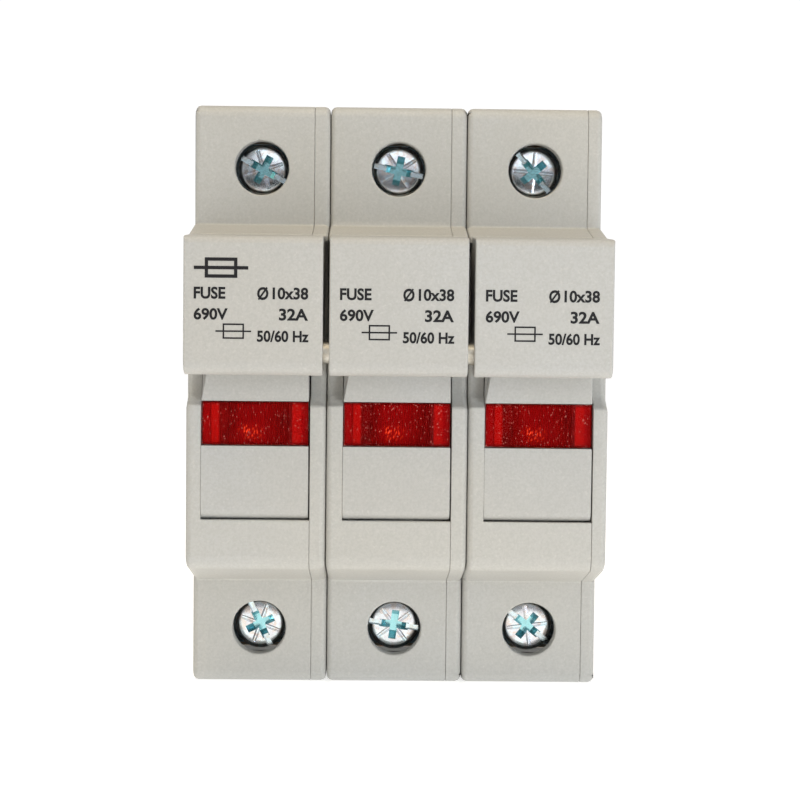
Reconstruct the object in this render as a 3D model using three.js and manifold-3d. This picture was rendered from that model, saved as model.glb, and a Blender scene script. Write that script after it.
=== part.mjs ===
// Three-pole modular holder for 10 x 38 mm cartridge fuses, for a 35 mm rail.
//
// Millimetres. X runs across the poles, +Y runs back to the rail and +Z is up.
// The origin is the middle of the face that seats on the rail.

import * as THREE from 'three';
import { mergeVertices } from 'three/addons/utils/BufferGeometryUtils.js';
import Module from 'manifold-3d';

const wasm = await Module();
wasm.setup();

// ---------------------------------------------------------------- driving dimensions

const POLES = 3;
const PITCH = 18; // one module on the rail
const WIDTH = 17.6; // housing of one pole
const WALL = 1.9; // side walls and outer rims
const JOINT_LINE = 0.05; // closed joint between tray and cover
const GAP = 0.3; // clearance round moving mouldings

const RIGHT = WIDTH / 2;
const LEFT = -RIGHT;
const INNER = RIGHT - WALL; // half of the space inside

const TOP = 38; // upper end of the housing
const BOTTOM = -38.4; // lower end of the housing
const BACK = 5; // feet behind the seat face
const SHOULDER = -44; // front of the terminal shoulders
const FACE = -54.5; // front of the nose and of the carrier panel
const GRIP_FACE = -60.2; // front of the handle
const CAP_LINE = -51; // front edge of the roof, where the handle begins
const SIDE_LINE = -48.2; // front edge of the side walls beside the handle

const NOSE_TOP = 22.3; // nose at the shoulders, upper and lower
const NOSE_BOTTOM = -24.6;
const CAP_TOP = 20.9; // nose at the handle
const ROOF = 1; // roof thickness at the handle
const NOSE_CHIN = -21.6; // lower front corner of the nose
const RAIL_HEAD = 5.2; // side walls stop here under the handle
const RECESS = { y: -52, top: 0.5, foot: -0.9 }; // finger recess in the side walls
const SILL = -15.5; // top of the lower front wall
const SILL_THICK = 1.5;

const PIVOT = { y: -51.5, z: -11, r: 1.95, reach: 8.0 };
const TONGUE = 6.7; // half width of the carrier inside the nose
const GRIP = { half: 8.6, top: 20.3, foot: 3.1, back: SIDE_LINE - GAP, shoulder: 19.4 };
const WINDOW = { top: -0.45, foot: -5.95, thick: 1.4 };
const PANEL = 1.6; // carrier wall behind the front face
const PANEL_FOOT = -15;
const CHEEK = { inner: 5.7, back: -42.3, top: 6.9, foot: -10.6 };

const FUSE = { y: -44.5, middle: -2, length: 38, capLength: 10, capR: 5.15, tubeR: 4.75 };
const TIE_BAR = { y: -57.8, z: 5.95, r: 1.35 };

const SCREW_Z = { upper: 29.8, lower: -31.1 };
const SCREW = { headFront: -41, headBack: -38.6, headR: 3.35, shankR: 2.35, tip: -31.3 };
const SCREW_HOLE_R = 3.55;
const BAR = { front: -31, thick: 1, half: 3.6 }; // terminal bar that the clamp pulls a wire onto
const CLAMP = { front: -33.1, back: -23.2, half: 4.9, height: 8, frontWall: 1.6, backWall: 1.4, side: 0.9 };
const WIRE_HOLE = { y0: -31.5, y1: -23.5, half: 4.2 };

const RIVETS = [
  { name: 'rivet_upper_front', y: -40, z: 23.2 },
  { name: 'rivet_lower_front', y: -40, z: -25 },
  { name: 'rivet_upper_rear', y: -8, z: 28 },
  { name: 'rivet_lower_rear', y: -8, z: -28 },
];
const RIVET = { shankR: 1.45, holeR: 1.6, bossR: 2.4, headR: 2.4, headThick: 0.5, sinkR: 2.7, sinkDepth: 0.6 };

const LATCH = { half: 6.6, y0: 1.7, y1: 4.9, foot: -37.6, tip: -16.3 };
const LATCH_RIB = { reach: 7.5, y0: 2.6, y1: 4.0, z0: -30, z1: -20 };
const RAIL = { edge: 17.5, hookGap: 1.5 }; // 35 mm rail
const SEAT = { half: 16.1, relief: 0.3 }; // face that lies on the rail

// turned positions of the screw heads, upper then lower, pole by pole
const SCREW_TURN = [[28, 65], [12, 8], [50, 38]];

// ---------------------------------------------------------------- materials

function plastic(color, roughness) {
  return new THREE.MeshStandardMaterial({ color, roughness, metalness: 0 });
}

function metal(color, roughness) {
  return new THREE.MeshStandardMaterial({ color, roughness, metalness: 1 });
}

const housingPlastic = () => plastic(0xc8c4b8, 0.6);
const carrierPlastic = () => plastic(0xcac6bb, 0.6);
const latchPlastic = () => plastic(0x9a9a96, 0.6);
const ceramic = () => plastic(0xf1eee6, 0.35);
const resistorLacquer = () => plastic(0x7d9fb5, 0.4);
const tinnedCopper = () => metal(0xb9a68c, 0.35);
const nickel = () => metal(0xcfcdc6, 0.25);
const zinc = () => metal(0xc2d2d6, 0.3);
const springSteel = () => metal(0x8d8f92, 0.35);
const lampGlass = () => new THREE.MeshStandardMaterial({
  color: 0xf0d9c8, roughness: 0.1, transparent: true, opacity: 0.6,
});
const redWindow = () => new THREE.MeshStandardMaterial({
  color: 0xb01010, roughness: 0.15, transparent: true, opacity: 0.85,
});

// ---------------------------------------------------------------- shape helpers

// An outline whose corners are [across, up, radius]; the radius may be left out.
function roundedShape(corners) {
  const points = corners.map(([x, y]) => new THREE.Vector2(x, y));
  const rim = [];
  corners.forEach(([, , radius = 0], i) => {
    const corner = points[i];
    if (radius === 0) {
      rim.push(corner);
      return;
    }
    const before = points[(i + points.length - 1) % points.length].clone().sub(corner).normalize();
    const after = points[(i + 1) % points.length].clone().sub(corner).normalize();
    const halfAngle = Math.acos(before.dot(after)) / 2;
    const centre = before.clone().add(after).normalize().multiplyScalar(radius / Math.sin(halfAngle));
    const start = before.clone().multiplyScalar(radius / Math.tan(halfAngle)).sub(centre);
    const sweep = (Math.PI - 2 * halfAngle) * Math.sign(after.cross(before));
    const steps = radius < 1.5 ? 4 : 6;
    for (let step = 0; step <= steps; step += 1) {
      const spoke = start.clone().rotateAround(new THREE.Vector2(), (sweep * step) / steps);
      rim.push(spoke.add(centre).add(corner));
    }
  });
  return new THREE.Shape(rim);
}

// A solid from a geometry, ready for joins and cuts.
function solid(geometry) {
  geometry.deleteAttribute('normal');
  geometry.deleteAttribute('uv');
  const merged = mergeVertices(geometry, 1e-5);
  return new wasm.Manifold(new wasm.Mesh({
    numProp: 3,
    vertProperties: new Float32Array(merged.attributes.position.array),
    triVerts: new Uint32Array(merged.index.array),
  }));
}

// A side outline, drawn in (y, z), given thickness from x0 to x1.
function plateX(corners, x0, x1) {
  const options = { depth: x1 - x0, bevelEnabled: false };
  const geometry = new THREE.ExtrudeGeometry(roundedShape(corners), options);
  const turn = new THREE.Matrix4().makeBasis(
    new THREE.Vector3(0, 1, 0),
    new THREE.Vector3(0, 0, 1),
    new THREE.Vector3(1, 0, 0),
  );
  geometry.applyMatrix4(turn);
  geometry.translate(x0, 0, 0);
  return solid(geometry);
}

// A plan outline, drawn in (x, y), given height from z0 to z1.
function plateZ(corners, z0, z1) {
  const options = { depth: z1 - z0, bevelEnabled: false };
  const geometry = new THREE.ExtrudeGeometry(roundedShape(corners), options);
  geometry.translate(0, 0, z0);
  return solid(geometry);
}

function block([x0, x1], [y0, y1], [z0, z1]) {
  const geometry = new THREE.BoxGeometry(x1 - x0, y1 - y0, z1 - z0);
  geometry.translate((x0 + x1) / 2, (y0 + y1) / 2, (z0 + z1) / 2);
  return solid(geometry);
}

function rodX(radius, [x0, x1], y, z, sides = 16) {
  const geometry = new THREE.CylinderGeometry(radius, radius, x1 - x0, sides);
  geometry.rotateZ(-Math.PI / 2);
  geometry.translate((x0 + x1) / 2, y, z);
  return solid(geometry);
}

function rodY(radius, [y0, y1], x, z, sides = 24) {
  const geometry = new THREE.CylinderGeometry(radius, radius, y1 - y0, sides);
  geometry.translate(x, (y0 + y1) / 2, z);
  return solid(geometry);
}

function rodZ(radius, [z0, z1], x, y, sides = 24) {
  const geometry = new THREE.CylinderGeometry(radius, radius, z1 - z0, sides);
  geometry.rotateX(Math.PI / 2);
  geometry.translate(x, y, (z0 + z1) / 2);
  return solid(geometry);
}

// A turned shape: profile points are [radius, distance along the axis].
function turned(profile, sides) {
  const points = profile.map(([r, along]) => new THREE.Vector2(r, along));
  return new THREE.LatheGeometry(points, sides);
}

function joined(first, ...others) {
  return others.reduce((whole, piece) => whole.add(piece), first);
}

function cut(whole, ...tools) {
  return tools.reduce((rest, tool) => rest.subtract(tool), whole);
}

function part(name, body, material) {
  const { vertProperties, triVerts } = body.getMesh();
  const geometry = new THREE.BufferGeometry();
  geometry.setAttribute('position', new THREE.BufferAttribute(vertProperties, 3));
  geometry.setIndex(new THREE.BufferAttribute(triVerts, 1));
  geometry.computeVertexNormals();
  const mesh = new THREE.Mesh(geometry, material);
  mesh.name = name;
  return mesh;
}

// ---------------------------------------------------------------- housing

// Side view of the housing, shared by the tray and the cover.
function housingOutline() {
  return [
    [BACK, TOP, 1.0],
    [SHOULDER, TOP, 1.5],
    [SHOULDER, NOSE_TOP],
    [CAP_LINE, CAP_TOP],
    [CAP_LINE, CAP_TOP - ROOF],
    [SIDE_LINE, CAP_TOP - ROOF],
    [SIDE_LINE, RAIL_HEAD],
    [RECESS.y, RAIL_HEAD],
    [RECESS.y, RECESS.top],
    [FACE, RECESS.foot],
    [FACE, NOSE_CHIN, 2.0],
    [SHOULDER, NOSE_BOTTOM],
    [SHOULDER, BOTTOM, 1.5],
    [BACK, BOTTOM, 1.0],
    [BACK, -RAIL.edge - 0.9],
    [-SEAT.relief, -RAIL.edge - 0.9],
    [-SEAT.relief, -SEAT.half],
    [0, -SEAT.half],
    [0, SEAT.half],
    [-SEAT.relief, SEAT.half],
    [-SEAT.relief, RAIL.edge + 0.8],
    [RAIL.hookGap, RAIL.edge + 0.8],
    [RAIL.hookGap, RAIL.edge - 0.7],
    [BACK, RAIL.edge - 0.7],
  ];
}

// The space round the carrier and its fuse: it is open to the front.
function carrierChamber(x0, x1) {
  const backWall = -34.8;
  const passage = -33.5; // the terminal bars leave through the two rear corners
  return plateX([
    [FACE - 2, SILL],
    [FACE + SILL_THICK, SILL],
    [FACE + SILL_THICK, NOSE_CHIN + 1.4],
    [-45.6, -23],
    [passage, -23],
    [passage, -20.2],
    [backWall, -20.2],
    [backWall, 18.8],
    [passage, 18.8],
    [passage, 21],
    [SHOULDER, 21],
    [CAP_LINE, CAP_TOP - ROOF],
    [FACE - 2, CAP_TOP - ROOF],
  ], x0, x1);
}

function upperTerminalChamber(x0, x1) {
  return plateX([
    [SHOULDER + WALL, 22.6],
    [-34, 22.6],
    [-34, 18.6],
    [-21, 18.6],
    [-21, TOP - WALL],
    [SHOULDER + WALL, TOP - WALL],
  ], x0, x1);
}

function lowerTerminalChamber(x0, x1) {
  return plateX([
    [SHOULDER + WALL, -26.4],
    [-34, -26.4],
    [-34, -19.4],
    [-21, -19.4],
    [-21, BOTTOM + WALL],
    [SHOULDER + WALL, BOTTOM + WALL],
  ], x0, x1);
}

// Hollows behind the chambers, which only keep the walls even.
function rearHollows(x0, x1) {
  return joined(
    plateX([[-32.4, -17.4], [-WALL, -17.4], [-WALL, 16.6], [-32.4, 16.6]], x0, x1),
    plateX([[-19.2, 20.2], [BACK - WALL, 20.2], [BACK - WALL, 36], [-19.2, 36]], x0, x1),
    plateX([[-19.2, -36.3], [-0.5, -36.3], [-0.5, -20.3], [-19.2, -20.3]], x0, x1),
  );
}

function rivetHoles(x0, x1) {
  const holes = RIVETS.map(({ y, z }) => rodX(RIVET.holeR, [x0 - 1, x1 + 1], y, z, 10));
  return joined(...holes);
}

function rivetSinks(x0, x1) {
  const sinks = RIVETS.map(({ y, z }) => rodX(RIVET.sinkR, [x0, x1], y, z, 10));
  return joined(...sinks);
}

// The groove that the rail latch's side rib runs in.
function latchGroove(x0, x1) {
  return block([x0, x1], [LATCH_RIB.y0 - 0.2, LATCH_RIB.y1 + 0.2], [LATCH_RIB.z0 - 5, LATCH_RIB.z1 + 0.5]);
}

function terminalOpenings() {
  const tools = [];
  for (const z of [SCREW_Z.upper, SCREW_Z.lower]) {
    tools.push(rodY(SCREW_HOLE_R, [SHOULDER - 1, SHOULDER + WALL + 0.5], 0, z, 32));
  }
  const { y0, y1, half } = WIRE_HOLE;
  const plan = [[-half, y0, 1.5], [half, y0, 1.5], [half, y1, 1.5], [-half, y1, 1.5]];
  tools.push(plateZ(plan, TOP - WALL - 0.5, TOP + 1));
  tools.push(plateZ(plan, BOTTOM - 1, BOTTOM + WALL + 0.5));
  return joined(...tools);
}

function housingTray() {
  const floor = LEFT + WALL;
  const open = INNER + 1; // the cuts run out through the open side
  const rivetBosses = RIVETS.map(({ y, z }) => rodX(RIVET.bossR, [floor - 0.5, INNER], y, z, 10));
  const shell = cut(
    plateX(housingOutline(), LEFT, INNER),
    carrierChamber(floor, open),
    upperTerminalChamber(floor, open),
    lowerTerminalChamber(floor, open),
    rearHollows(floor, open),
  );
  return cut(
    joined(shell, ...rivetBosses),
    block([floor, open], [RAIL.hookGap - 0.1, BACK + 1], [BOTTOM - 1, -RAIL.edge - 0.8]),
    latchGroove(LEFT + 1.1, floor + 0.5),
    terminalOpenings(),
    rodX(PIVOT.r + 0.15, [-PIVOT.reach - 0.2, floor + 0.5], PIVOT.y, PIVOT.z),
    rivetHoles(LEFT, INNER),
    rivetSinks(LEFT - 1, LEFT + RIVET.sinkDepth),
  );
}

function housingCover() {
  const inside = INNER + JOINT_LINE;
  return cut(
    plateX(housingOutline(), inside, RIGHT),
    latchGroove(inside - 1, RIGHT - 1.1),
    rodX(PIVOT.r + 0.15, [inside - 1, PIVOT.reach + 0.2], PIVOT.y, PIVOT.z),
    rivetHoles(inside, RIGHT),
    rivetSinks(RIGHT - RIVET.sinkDepth, RIGHT + 1),
  );
}

function rivet({ name, y, z }) {
  const side = ((POLES - 1) * PITCH + WIDTH) / 2;
  const face = side - RIVET.sinkDepth + 0.05; // the heads sit just clear of their seats
  const body = joined(
    rodX(RIVET.shankR, [-face - 0.1, face + 0.1], y, z, 10),
    rodX(RIVET.headR, [-face - RIVET.headThick, -face], y, z, 12),
    rodX(RIVET.headR, [face, face + RIVET.headThick], y, z, 12),
  );
  return part(name, body, zinc());
}

// ---------------------------------------------------------------- fuse carrier

function handleBlock() {
  const { half, top, foot, back, shoulder } = GRIP;
  const outside = plateX([
    [back, shoulder],
    [CAP_LINE - GAP, shoulder],
    [CAP_LINE - GAP, CAP_TOP - 0.1],
    [GRIP_FACE, top],
    [GRIP_FACE, foot, 1.8],
    [-56.6, foot],
    [-55, RAIL_HEAD + GAP],
    [back, RAIL_HEAD + GAP],
  ], -half, half);
  const hollow = plateX([
    [back + 1, 8.6],
    [GRIP_FACE + 1.9, 8.6, 1],
    [GRIP_FACE + 1.9, 18.2, 1],
    [back + 1, 18.2],
  ], -TONGUE, TONGUE);
  return cut(outside, hollow, rodZ(FUSE.capR + 0.25, [foot, top - 1.6], 0, FUSE.y, 20));
}

// The panel above the window; its left edge is cut back towards the handle.
function upperPanel() {
  const geometry = new THREE.ExtrudeGeometry(roundedShape([
    [-TONGUE, WINDOW.top + 0.1],
    [TONGUE, WINDOW.top + 0.1],
    [TONGUE, RAIL_HEAD + 1],
    [-TONGUE + 0.6, RAIL_HEAD + 1],
    [-TONGUE + 0.6, RAIL_HEAD - 1.2],
  ]), { depth: PANEL, bevelEnabled: false });
  geometry.rotateX(Math.PI / 2);
  geometry.translate(0, FACE + PANEL, 0);
  return solid(geometry);
}

function lowerPanel() {
  return plateX([
    [FACE, WINDOW.foot - 0.1],
    [FACE, PANEL_FOOT, 1.2],
    [PIVOT.y, PANEL_FOOT, 0.3],
    [PIVOT.y, PANEL_FOOT + PANEL],
    [FACE + PANEL, PANEL_FOOT + PANEL],
    [FACE + PANEL, WINDOW.foot - 0.1],
  ], -TONGUE, TONGUE);
}

// One side of the cradle: it carries the trunnion and hooks over the fuse.
function cheek(side) {
  const span = side > 0 ? [CHEEK.inner, TONGUE] : [-TONGUE, -CHEEK.inner];
  const hook = side > 0 ? [4.65, CHEEK.inner + 0.5] : [-CHEEK.inner - 0.5, -4.65];
  const trunnion = side > 0 ? [TONGUE - 0.5, PIVOT.reach] : [-PIVOT.reach, -TONGUE + 0.5];
  return joined(
    plateX([
      [FACE + PANEL - 0.1, CHEEK.top],
      [FACE + PANEL - 0.1, CHEEK.foot],
      [CHEEK.back, CHEEK.foot, 2],
      [CHEEK.back, CHEEK.top, 2],
    ], ...span),
    plateX([
      [FACE + 0.2, WINDOW.foot - 0.3],
      [FACE + 0.2, -13.8, 0.8],
      [PIVOT.y, -15.2, 1.5],
      [-48.6, -13, 1.5],
      [-48.6, CHEEK.foot + 1],
      [-50, WINDOW.foot - 0.3],
    ], ...span),
    block(hook, [CHEEK.back - 1.4, CHEEK.back - 0.2], [-1.5, 3]),
    rodX(PIVOT.r, trunnion, PIVOT.y, PIVOT.z),
  );
}

// A cross rib with a round seat for the fuse.
function cradleRib(z) {
  const rib = block([-CHEEK.inner - 0.5, CHEEK.inner + 0.5], [FACE + PANEL - 0.3, -46.5], [z - 0.6, z + 0.6]);
  return cut(rib, rodZ(FUSE.capR, [z - 1, z + 1], 0, FUSE.y, 20));
}

function fuseCarrier() {
  const body = joined(
    handleBlock(), upperPanel(), lowerPanel(), cheek(1), cheek(-1), cradleRib(-9.4), cradleRib(5.9),
  );
  const half = GRIP.half + 1;
  return cut(body, rodX(TIE_BAR.r + 0.15, [-half, half], TIE_BAR.y, TIE_BAR.z, 16));
}

function indicatorWindow() {
  const { top, foot, thick } = WINDOW;
  const ribs = [];
  for (let x = -4; x <= 4; x += 2) {
    ribs.push(block([x - 0.5, x + 0.5], [FACE + thick - 0.1, FACE + thick + 0.4], [foot + 0.6, top - 0.6]));
  }
  return joined(block([-TONGUE, TONGUE], [FACE, FACE + thick], [foot, top]), ...ribs);
}

function indicatorLamp() {
  const bulb = solid(turned([[0, -4], [0.7, -3.9], [1.3, -3.2], [1.3, 3.2], [0.7, 3.9], [0, 4]], 10));
  const lamp = joined(bulb, rodY(0.3, [-5, -3.7], 0, 0, 6), rodY(0.3, [3.7, 5], 0, 0, 6));
  return lamp.rotate([0, 0, 90]).translate([0, -51.2, -3.2]);
}

function indicatorResistor() {
  const shell = solid(turned([
    [0, -3], [1.2, -3], [1.2, -1.9], [1.0, -1.6], [1.0, 1.6], [1.2, 1.9], [1.2, 3], [0, 3],
  ], 8));
  const resistor = joined(shell, rodY(0.3, [-5, -2.9], 0, 0, 6), rodY(0.3, [2.9, 5], 0, 0, 6));
  return resistor.rotate([0, 0, 90]).translate([0, -51.2, 1.8]);
}

// ---------------------------------------------------------------- cartridge fuse

function fuseTube() {
  const half = FUSE.length / 2 - 0.7;
  return rodZ(FUSE.tubeR, [FUSE.middle - half, FUSE.middle + half], 0, FUSE.y, 20);
}

// A drawn cap, closed at its outer end.
function fuseCap(up) {
  const end = FUSE.length / 2;
  const mouth = end - FUSE.capLength;
  const cup = solid(turned([
    [0, end],
    [FUSE.capR - 0.4, end],
    [FUSE.capR, end - 0.4],
    [FUSE.capR, mouth],
    [FUSE.tubeR + 0.1, mouth],
    [FUSE.tubeR + 0.1, end - 0.5],
    [0, end - 0.5],
  ].reverse(), 20));
  return cup.rotate([up ? 90 : -90, 0, 0]).translate([0, FUSE.y, FUSE.middle]);
}

// ---------------------------------------------------------------- contacts and terminals

const JAW = { inner: 5.2, outer: 6.2, spring: 0.4 };
const UPPER_JAW = { y0: -47, web: -38.9, z0: 10, z1: 16 };
const LOWER_JAW = { y0: -46.5, y1: -40.5, z1: -12.5, web: -21.3 };

// Jaws open to the front, a strip up and back, and the terminal bar.
function upperContact() {
  const { y0, web, z0, z1 } = UPPER_JAW;
  const barBack = BAR.front + BAR.thick;
  const bend = 20.4;
  return joined(
    block([-JAW.outer, JAW.outer], [web, web + BAR.thick], [z0, z1]),
    block([JAW.inner, JAW.outer], [y0, web + 0.1], [z0, z1]),
    block([-JAW.outer, -JAW.inner], [y0, web + 0.1], [z0, z1]),
    plateX([
      [web, z1 - 1],
      [web + BAR.thick, z1 - 1],
      [web + BAR.thick, bend - BAR.thick],
      [barBack, bend - BAR.thick, 0.6],
      [barBack, 35],
      [BAR.front, 35],
      [BAR.front, bend],
      [web, bend, 0.6],
    ], -BAR.half, BAR.half),
  );
}

// Jaws joined under the fuse, because its lower cap swings back as the carrier opens.
function lowerContact() {
  const { y0, y1, z1, web } = LOWER_JAW;
  const barBack = BAR.front + BAR.thick;
  const under = web - BAR.thick;
  return joined(
    block([-JAW.outer, JAW.outer], [y0, y1 + 2], [under, web]),
    block([JAW.inner, JAW.outer], [y0, y1], [web - 0.1, z1]),
    block([-JAW.outer, -JAW.inner], [y0, y1], [web - 0.1, z1]),
    plateX([
      [y1 + 1, web],
      [barBack, web, 0.6],
      [barBack, -36],
      [BAR.front, -36],
      [BAR.front, under],
      [y1 + 1, under],
    ], -BAR.half, BAR.half),
  );
}

// Steel clips that press the jaws onto the fuse caps.
function upperJawSpring() {
  const { y0, web, z0, z1 } = UPPER_JAW;
  const inside = JAW.outer + 0.05;
  const outside = inside + JAW.spring;
  const back = web + BAR.thick + 0.1;
  const z = [z0 + 1, z1 - 1];
  return joined(
    block([-outside, outside], [back, back + JAW.spring], z),
    block([inside, outside], [y0 + 1, back + 0.1], z),
    block([-outside, -inside], [y0 + 1, back + 0.1], z),
  );
}

function lowerJawSpring() {
  const { y0, y1, z1, web } = LOWER_JAW;
  const inside = JAW.outer + 0.05;
  const outside = inside + JAW.spring;
  const under = web - BAR.thick - 0.1;
  const y = [y0 + 1, y1 - 1];
  return joined(
    block([-outside, outside], y, [under - JAW.spring, under]),
    block([inside, outside], y, [under - 0.1, z1 - 1.5]),
    block([-outside, -inside], y, [under - 0.1, z1 - 1.5]),
  );
}

// A rising cage: a closed frame that a wire passes through from above or below.
function terminalClamp(z) {
  const { front, back, half, height, frontWall, backWall, side } = CLAMP;
  const span = [z - height / 2, z + height / 2];
  const frame = plateZ([
    [-half, front, 0.6], [half, front, 0.6], [half, back, 0.6], [-half, back, 0.6],
  ], ...span);
  const hollow = block(
    [-half + side, half - side], [front + frontWall, back - backWall], [span[0] - 1, span[1] + 1],
  );
  return cut(frame, hollow, rodY(SCREW.shankR + 0.15, [front - 1, front + frontWall + 0.5], 0, z, 16));
}

// A combination head: a cross recess with a slot right across it.
function terminalScrew() {
  const { headFront, headBack, headR, shankR, tip } = SCREW;
  const profile = [
    [0, headFront], [headR - 0.5, headFront], [headR, headFront + 0.5], [headR, headBack],
    [shankR, headBack + 0.1], [shankR, tip - 0.4], [shankR - 0.5, tip], [0, tip],
  ];
  const slotDepth = 0.9;
  const crossDepth = 1.6;
  const y = (depth) => [headFront - 1, headFront + depth];
  return cut(
    solid(turned(profile, 16)),
    block([-headR - 1, headR + 1], y(slotDepth), [-0.5, 0.5]),
    block([-0.5, 0.5], y(crossDepth), [-2.1, 2.1]),
    block([-2.1, 2.1], y(crossDepth), [-0.5, 0.5]),
  );
}

// ---------------------------------------------------------------- rail latch

function railLatch() {
  const { half, y0, y1, foot, tip } = LATCH;
  const ribs = block([-LATCH_RIB.reach, LATCH_RIB.reach], [LATCH_RIB.y0, LATCH_RIB.y1], [LATCH_RIB.z0, LATCH_RIB.z1]);
  return cut(
    joined(
      plateX([[y0, foot, 0.4], [y1, foot, 0.4], [y1, tip - 3.2], [y0 + 0.8, tip], [y0, tip]], -half, half),
      ribs,
    ),
    block([-3, 3], [y0 - 1, y1 + 1], [foot + 1.8, foot + 4.2]),
  );
}

// ---------------------------------------------------------------- assembly

function screwMesh(name, z, degrees) {
  const mesh = part(name, terminalScrew(), zinc());
  mesh.position.z = z;
  mesh.rotation.y = THREE.MathUtils.degToRad(degrees);
  return mesh;
}

function pole(number) {
  const group = new THREE.Group();
  const [upperTurn, lowerTurn] = SCREW_TURN[number - 1];
  group.add(
    part(`housing_tray_${number}`, housingTray(), housingPlastic()),
    part(`housing_cover_${number}`, housingCover(), housingPlastic()),
    part(`fuse_carrier_${number}`, fuseCarrier(), carrierPlastic()),
    part(`indicator_window_${number}`, indicatorWindow(), redWindow()),
    part(`indicator_lamp_${number}`, indicatorLamp(), lampGlass()),
    part(`indicator_resistor_${number}`, indicatorResistor(), resistorLacquer()),
    part(`fuse_tube_${number}`, fuseTube(), ceramic()),
    part(`fuse_cap_upper_${number}`, fuseCap(true), nickel()),
    part(`fuse_cap_lower_${number}`, fuseCap(false), nickel()),
    part(`upper_contact_${number}`, upperContact(), tinnedCopper()),
    part(`lower_contact_${number}`, lowerContact(), tinnedCopper()),
    part(`upper_jaw_spring_${number}`, upperJawSpring(), springSteel()),
    part(`lower_jaw_spring_${number}`, lowerJawSpring(), springSteel()),
    part(`upper_clamp_${number}`, terminalClamp(SCREW_Z.upper), zinc()),
    part(`lower_clamp_${number}`, terminalClamp(SCREW_Z.lower), zinc()),
    screwMesh(`upper_screw_${number}`, SCREW_Z.upper, upperTurn),
    screwMesh(`lower_screw_${number}`, SCREW_Z.lower, lowerTurn),
    part(`rail_latch_${number}`, railLatch(), latchPlastic()),
  );
  group.position.x = (number - (POLES + 1) / 2) * PITCH;
  return group;
}

function tieBar() {
  const reach = ((POLES - 1) * PITCH) / 2 + GRIP.half - 0.4;
  return part('tie_bar', rodX(TIE_BAR.r, [-reach, reach], TIE_BAR.y, TIE_BAR.z, 16), nickel());
}

const holder = new THREE.Group();
for (let number = 1; number <= POLES; number += 1) holder.add(pole(number));
for (const place of RIVETS) holder.add(rivet(place));
holder.add(tieBar());

export default holder;
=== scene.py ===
"""Finishes a three-pole holder for 10 x 38 mm cartridge fuses.

Metres throughout. X runs across the poles, +Y runs back to the rail and +Z is up.
"""

import math

import bmesh
import bpy
from bpy.props import FloatProperty, FloatVectorProperty, IntProperty, PointerProperty
from mathutils import Matrix, Vector


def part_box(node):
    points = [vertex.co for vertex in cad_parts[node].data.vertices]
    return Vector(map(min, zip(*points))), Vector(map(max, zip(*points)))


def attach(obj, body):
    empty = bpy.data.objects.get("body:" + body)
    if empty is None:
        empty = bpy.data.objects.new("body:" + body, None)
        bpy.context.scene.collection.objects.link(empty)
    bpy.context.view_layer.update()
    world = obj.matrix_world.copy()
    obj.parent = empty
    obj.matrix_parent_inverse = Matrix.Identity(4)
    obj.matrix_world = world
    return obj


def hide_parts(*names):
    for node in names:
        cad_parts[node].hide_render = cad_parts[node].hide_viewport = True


bl_info = {
    "name": "Cartridge fuse holder",
    "version": (1, 0, 0),
    "blender": (4, 5, 0),
    "location": "3D View > Sidebar > Fuse holder",
    "description": "Mouldings, terminals, fuses, red windows and print of a three-pole fuse holder",
    "category": "Object",
}

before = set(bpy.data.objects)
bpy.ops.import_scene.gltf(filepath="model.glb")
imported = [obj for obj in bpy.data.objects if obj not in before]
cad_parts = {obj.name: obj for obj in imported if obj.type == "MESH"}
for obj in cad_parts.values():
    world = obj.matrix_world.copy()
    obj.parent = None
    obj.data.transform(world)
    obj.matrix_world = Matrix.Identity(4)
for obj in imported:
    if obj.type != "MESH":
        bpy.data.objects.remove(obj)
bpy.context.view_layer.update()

MM = 0.001
POLES = [1, 2, 3]
HALF_TURN = math.pi


def box_of(node):
    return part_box(node)


def pole_middle(pole):
    low, high = box_of(f"fuse_carrier_{pole}")
    return (low.x + high.x) / 2


def middle_of(node):
    low, high = box_of(node)
    return (low + high) / 2


# Where things stand on every pole, read off the frame.
CARRIER_LOW, CARRIER_HIGH = box_of("fuse_carrier_2")
TRAY_LOW, TRAY_HIGH = box_of("housing_tray_2")
HANDLE_FRONT = CARRIER_LOW.y
HANDLE_HALF = (CARRIER_HIGH.x - CARRIER_LOW.x) / 2
FLOOR_LEVEL, UPPER_END, NOSE_FRONT = TRAY_LOW.z, TRAY_HIGH.z, TRAY_LOW.y

# Depths and heights between those, where one face of a moulding gives way to the next.
SHOULDER = -44 * MM
HANDLE_TOP, HANDLE_FOOT = 20.3 * MM, 3.1 * MM
HANDLE_BACK, HANDLE_STEP = -50.9 * MM, -51.5 * MM
BAY_DEPTH, BAY_FOOT, BAY_TOP = -47.5 * MM, 4.6 * MM, 21.5 * MM
NOSE_BAND, NOSE_RIM, NOSE_FOOT = -47.9 * MM, -50 * MM, -18 * MM
PANEL_BACK, PANEL_FOOT = -49 * MM, -13.7 * MM
PANEL_SIDE_FROM, PANEL_SIDE_TO = 6.5 * MM, 6.8 * MM
WINDOW_FOOT, WINDOW_TOP = -6.2 * MM, -0.2 * MM

LENS_DEPTH = 0.5 * MM

# How far a panel's sides and foot move to close its gaps.
PANEL_SHIFT_LEFT, PANEL_SHIFT_RIGHT, PANEL_SHIFT_FOOT = -0.19 * MM, 0.07 * MM, -0.40 * MM

# Reach of the roundings about a hole, from its centre.
RIVET_REACH, SCREW_REACH, WIRE_REACH, TIE_REACH = 2.9 * MM, 3.9 * MM, 4.6 * MM, 1.7 * MM

# Roundings beside the handle and along the ends, as shares of the outer edge's.
BAY_SHARE, END_SHARE = 0.42, 0.45

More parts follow.
